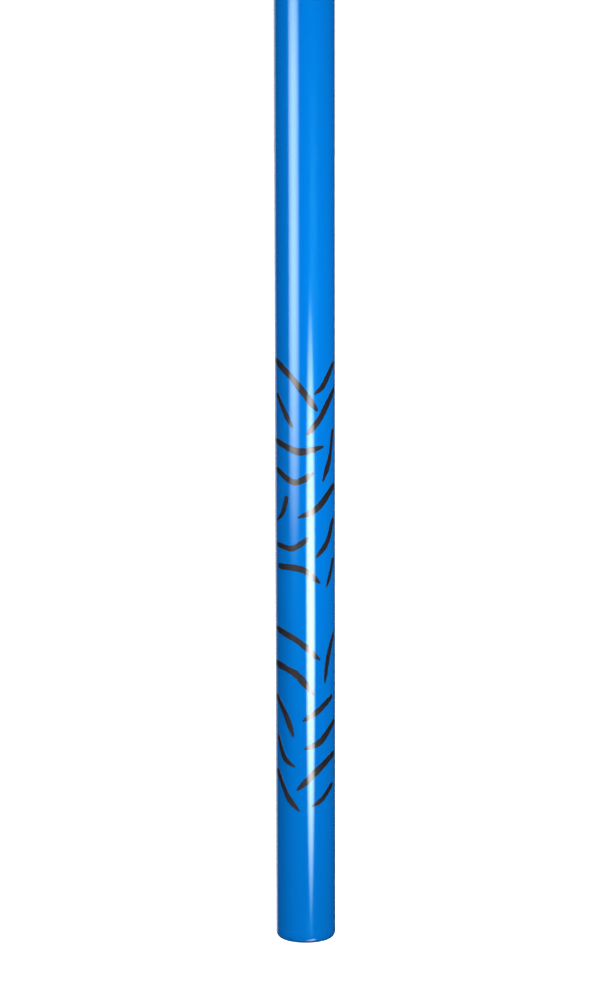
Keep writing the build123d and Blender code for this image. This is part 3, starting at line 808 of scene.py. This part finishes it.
dress(lacquer("plug_lacquer"), "butt_plug")
for *look, covered in METALS:
    dress(brushed_metal(*look), *covered)
dress(moulded("ferrule_nylon", (0.011, 0.012, 0.013), (0.030, 0.031, 0.033), roughness=0.44), "ferrule")
dress(moulded("head_nylon", (0.012, 0.012, 0.013), (0.034, 0.034, 0.035), roughness=0.50, grain_mm=0.5),
      "head_base")
dress(moulded("white_nylon", (0.62, 0.61, 0.56), (0.80, 0.79, 0.75), roughness=0.42, grain_mm=0.5,
              Subsurface_Weight=0.15, Subsurface_Scale=0.002), "pivot_bush", "thrust_washers")
dress(moulded("pad_plate_plastic", (0.30, 0.31, 0.32), (0.42, 0.43, 0.44), roughness=0.5, grain_mm=0.5),
      "pad_plate")
dress(worn_thumb_plastic(), "thumb_slide")
dress(bumper_rubber(), "edge_bumper")


# ---------------------------------------------------------------- studio
def softbox(name, centre, size, radiance, facing, shape="RECTANGLE", glossy=True, diffuse=True):
    """An area light that the camera does not see; a radiance of 1 reflects as plain white.

    Every softbox has a distance of its own, because lights in one plane are sampled badly.
    """
    light = bpy.data.lights.new(name, "AREA")
    light.shape = shape
    light.size, light.size_y = size
    area = size[0] * size[1] * (math.pi / 4 if shape == "ELLIPSE" else 1)
    light.energy = radiance * math.pi * area
    made = bpy.data.objects.new(name, light)
    made.location = centre
    made.rotation_euler = (Vector(facing) - Vector(centre)).to_track_quat("-Z", "Y").to_euler()
    made.visible_camera = False
    made.visible_glossy = glossy
    made.visible_diffuse = diffuse
    bpy.context.scene.collection.objects.link(made)
    return made


def fading(lamp, build):
    """Shapes a softbox's brightness by how far across and up it a point is, each from 0 to 1."""
    lamp.data.use_nodes = True
    tree = lamp.data.node_tree

    def calc(operation, *values, clamp=False):
        made = tree.nodes.new("ShaderNodeMath")
        made.operation = operation
        made.use_clamp = clamp
        for i, value in enumerate(values):
            if isinstance(value, bpy.types.NodeSocket):
                tree.links.new(value, made.inputs[i])
            else:
                made.inputs[i].default_value = value
        return made.outputs[0]

    split = tree.nodes.new("ShaderNodeSeparateXYZ")
    tree.links.new(tree.nodes.new("ShaderNodeNewGeometry").outputs["Parametric"], split.inputs[0])
    strength = build(calc, split.outputs["X"], split.outputs["Y"])
    tree.links.new(strength, tree.nodes["Emission"].inputs["Strength"])
    return lamp


RIM_POWER = 1.3
SIDE_POWER = 1.2
LOW_PART = 1 / 7  # the strip fades out over this share of its height, at its lower end
HIGH_START = 0.22  # and dims above this share
HIGH_END = HIGH_START + 1 / 15
HIGH_DIMMING = 0.42


def round_fade(calc, across, up):
    """Bright in the middle, fading smoothly to nothing at an ellipse's rim."""
    x = calc("MULTIPLY_ADD", across, 2.0, -1.0)
    y = calc("MULTIPLY_ADD", up, 2.0, -1.0)
    squared = calc("ADD", calc("MULTIPLY", x, x), calc("MULTIPLY", y, y))
    return calc("POWER", calc("SUBTRACT", 1.0, squared, clamp=True), RIM_POWER)


def strip_fade(calc, across, up):
    """Bright along the middle line; fades to both sides and the lower end, and dims higher up."""
    x = calc("MULTIPLY_ADD", across, 2.0, -1.0)
    sides = calc("POWER", calc("SUBTRACT", 1.0, calc("MULTIPLY", x, x), clamp=True), SIDE_POWER)
    missing = calc("SUBTRACT", 1.0, calc("DIVIDE", up, LOW_PART), clamp=True)
    low = calc("SUBTRACT", 1.0, calc("MULTIPLY", missing, missing))
    past = calc("DIVIDE", calc("SUBTRACT", up, HIGH_START), HIGH_END - HIGH_START, clamp=True)
    high = calc("SUBTRACT", 1.0, calc("MULTIPLY", past, HIGH_DIMMING))
    return calc("MULTIPLY", calc("MULTIPLY", sides, low), high)


def at_azimuth(degrees, distance, z):
    """A place round the handle; azimuth 0 is towards the camera and positive to its right."""
    turn = math.radians(degrees)
    return (distance * math.sin(turn), -distance * math.cos(turn), z)


KEY_AZIMUTH = 20.5  # degrees
LEFT_AZIMUTH = -42.5


def reflection(name, azimuth, distance, z, size, radiance, fade, shape="RECTANGLE"):
    """A fading softbox, facing the handle at its own height, that shows only in gloss."""
    lamp = softbox(name, at_azimuth(azimuth, distance, z), size, radiance, (0, 0, z), shape, diffuse=False)
    return fading(lamp, fade)


# The handle's two long highlights, and the glow on its rounded lower edge.
reflection("key_light", KEY_AZIMUTH, distance=1.2, z=-0.052, size=(0.88, 0.515), radiance=17.5,
           fade=round_fade, shape="ELLIPSE")
reflection("left_softbox", LEFT_AZIMUTH, distance=1.0, z=0.818, size=(0.88, 1.6), radiance=7.1,
           fade=strip_fade)
table_glow = softbox("table_glow", (0.115, -0.17, -0.33), size=(0.22, 0.34), radiance=4.8,
                     facing=(0, 0, 0), shape="ELLIPSE", diffuse=False)
fading(table_glow, round_fade)

# Even light on the front, which leaves no highlight.
softbox("table_fill", (0, -0.08, -0.45), size=(0.3, 0.3),
        radiance=4.0, facing=(0, 0, 0), glossy=False)
softbox("left_fill", at_azimuth(LEFT_AZIMUTH, distance=1.05, z=0.81), size=(0.48, 1.6),
        radiance=5.8, facing=(0, 0, 0.81), glossy=False)
softbox("key_fill", at_azimuth(34.0, distance=0.42, z=0.25), size=(0.21, 0.21),
        radiance=18.0, facing=(0, 0, 0.24), glossy=False)

# The back, the right and the head above the picture's frame.
softbox("rear_softbox", at_azimuth(180.0, distance=1.6, z=0.65), size=(0.3, 2.2),
        radiance=5.0, facing=(0, 0, 0.65))
softbox("rear_left_softbox", at_azimuth(-152.0, distance=1.5, z=0.3), size=(0.5, 1.5),
        radiance=0.6, facing=(0, 0, 0.3))
softbox("rear_fill", at_azimuth(172.0, distance=1.5, z=0.6), size=(1.2, 1.6),
        radiance=3.6, facing=(0, 0, 0.5), glossy=False)
softbox("right_softbox", at_azimuth(80.0, distance=1.1, z=1.35), size=(0.5, 0.9),
        radiance=4.0, facing=(0, 0, 1.1))
softbox("top_softbox", (0.1, 0.2, 2.2), size=(1.0, 1.0), radiance=3.0, facing=(0, 0, 1.2))


WHITE = (1.0, 1.0, 1.0, 1.0)
SKY_COLOUR = (0.97, 0.98, 1.0, 1.0)
SKY_FILL = 0.25
SKY_RISE = {"From Min": 0.3, "From Max": 0.8, "To Min": 0.01, "To Max": 0.9}  # by how far up it points


def studio_world():
    """White to the camera; an even soft grey fill; and in gloss bright from above and dark below."""
    world = bpy.data.worlds.new("studio")
    bpy.context.scene.world = world
    world.use_nodes = True
    tree = world.node_tree

    def glow(strength, colour=SKY_COLOUR):
        made = tree.nodes.new("ShaderNodeBackground")
        made.inputs["Color"].default_value = colour
        if isinstance(strength, float):
            made.inputs["Strength"].default_value = strength
        else:
            tree.links.new(strength, made.inputs["Strength"])
        return made.outputs[0]

    def choose(ray, otherwise, when):
        made = tree.nodes.new("ShaderNodeMixShader")
        tree.links.new(ray, made.inputs[0])
        tree.links.new(otherwise, made.inputs[1])
        tree.links.new(when, made.inputs[2])
        return made.outputs[0]

    direction = tree.nodes.new("ShaderNodeTexCoord").outputs["Generated"]
    split = tree.nodes.new("ShaderNodeSeparateXYZ")
    tree.links.new(direction, split.inputs[0])
    rise = tree.nodes.new("ShaderNodeMapRange")
    rise.interpolation_type = "SMOOTHSTEP"
    for key, value in SKY_RISE.items():
        rise.inputs[key].default_value = value
    tree.links.new(split.outputs["Z"], rise.inputs["Value"])
    rays = tree.nodes.new("ShaderNodeLightPath").outputs
    seen = choose(rays["Is Diffuse Ray"], glow(rise.outputs["Result"]), glow(SKY_FILL))
    seen = choose(rays["Is Camera Ray"], seen, glow(1.0, WHITE))
    tree.links.new(seen, tree.nodes["World Output"].inputs["Surface"])


studio_world()

FLOOR_Z = -0.5
FLOOR_HALF = 40.0
FLOOR_CELLS = 8


def pale_floor():
    """Plain pale floor, well below the butt end, that throws no light back on the object."""
    bm = bmesh.new()
    bmesh.ops.create_grid(bm, x_segments=FLOOR_CELLS, y_segments=FLOOR_CELLS, size=FLOOR_HALF)
    bmesh.ops.translate(bm, verts=bm.verts, vec=(0, 0, FLOOR_Z))
    paint = Shader("floor_paint", Base_Color=(0.9, 0.9, 0.9), Roughness=0.9,
                   Emission_Color=(1.0, 1.0, 1.0), Emission_Strength=1.0)
    floor = new_object("floor", bm, paint.mat)
    floor.visible_glossy = False
    floor.visible_diffuse = False


pale_floor()

# ---------------------------------------------------------------- camera
LENS_MM = 115.2
SENSOR_MM = 36.0
CAMERA_PLACE = (-0.0012, -1.3456, 0.3636)
LOOK_DOWN = 7.35  # degrees, as is the roll
ROLL = 0.11

camera_data = bpy.data.cameras.new("camera")
camera_data.lens = LENS_MM
camera_data.sensor_width = SENSOR_MM
camera = bpy.data.objects.new("camera", camera_data)
camera.location = CAMERA_PLACE
camera.rotation_euler = (math.radians(90 - LOOK_DOWN), math.radians(ROLL), 0.0)
bpy.context.scene.collection.objects.link(camera)
bpy.context.scene.camera = camera
bpy.context.scene.view_settings.view_transform = "Standard"
